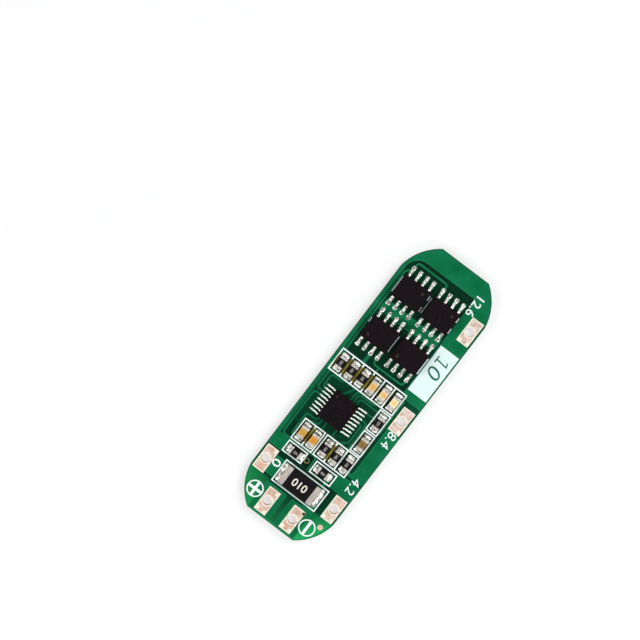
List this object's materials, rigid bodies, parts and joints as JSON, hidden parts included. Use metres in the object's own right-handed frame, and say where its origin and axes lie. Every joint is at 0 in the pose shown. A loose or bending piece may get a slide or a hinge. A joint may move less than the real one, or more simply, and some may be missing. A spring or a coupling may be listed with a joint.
{
  "type": "battery management board",
  "caption": "Round-cornered circuit board that protects a small lithium pack: power transistors, a protection IC, a current shunt and plated wire terminals.",
  "frame": {"origin": "centre of the underside, at the faces of the lower copper sheets", "axes": "+X along the board toward the two output terminals, +Y toward the edge with the three cell terminals, +Z out of the component side"},
  "size_m": [0.05, 0.016, 0.0026],
  "materials": {
    "glass_epoxy": "glass-epoxy laminate under green solder mask",
    "masked_copper": "copper foil under glossy green solder mask",
    "bare_copper": "bare pinkish copper, satin",
    "solder": "bright reflowed solder",
    "moulded_epoxy": "matt black moulding compound",
    "tinned_lead": "tin-plated lead frame",
    "coated_ceramic": "alumina with a black glass coat",
    "capacitor_ceramic": "fired ceramic, tan to orange",
    "end_cap_metal": "tinned end caps"
  },
  "bodies": {
    "root": {"laminate": "glass_epoxy", "top_foil": "masked_copper", "bottom_foil": "masked_copper", "through_via": "bare_copper", "test_point": "bare_copper", "transistor_solder": "solder", "protection_ic_solder": "solder", "chip_solder": "solder", "shunt_solder": "solder", "protection_ic_body": "moulded_epoxy", "protection_ic_leads": "tinned_lead", "shunt": "coated_ceramic", "shunt_caps": "end_cap_metal", "terminal_top_cell": "bare_copper", "terminal_middle_cell": "bare_copper", "terminal_bottom_cell": "bare_copper", "terminal_zero": "bare_copper", "terminal_minus": "bare_copper", "terminal_plus": "bare_copper", "transistor_1_body": "moulded_epoxy", "transistor_1_leads": "tinned_lead", "transistor_2_body": "moulded_epoxy", "transistor_2_leads": "tinned_lead", "transistor_3_body": "moulded_epoxy", "transistor_3_leads": "tinned_lead", "transistor_4_body": "moulded_epoxy", "transistor_4_leads": "tinned_lead", "capacitor_1": "capacitor_ceramic", "capacitor_1_caps": "end_cap_metal", "capacitor_2": "capacitor_ceramic", "capacitor_2_caps": "end_cap_metal", "capacitor_3": "capacitor_ceramic", "capacitor_3_caps": "end_cap_metal", "capacitor_4": "capacitor_ceramic", "capacitor_4_caps": "end_cap_metal", "capacitor_5": "capacitor_ceramic", "capacitor_5_caps": "end_cap_metal", "capacitor_6": "capacitor_ceramic", "capacitor_6_caps": "end_cap_metal", "resistor_1": "coated_ceramic", "resistor_1_caps": "end_cap_metal", "resistor_2": "coated_ceramic", "resistor_2_caps": "end_cap_metal", "resistor_3": "coated_ceramic", "resistor_3_caps": "end_cap_metal", "resistor_4": "coated_ceramic", "resistor_4_caps": "end_cap_metal", "resistor_5": "coated_ceramic", "resistor_5_caps": "end_cap_metal", "resistor_6": "coated_ceramic", "resistor_6_caps": "end_cap_metal", "resistor_7": "coated_ceramic", "resistor_7_caps": "end_cap_metal", "resistor_8": "coated_ceramic", "resistor_8_caps": "end_cap_metal", "resistor_9": "coated_ceramic", "resistor_9_caps": "end_cap_metal"}
  },
  "joints": []
}
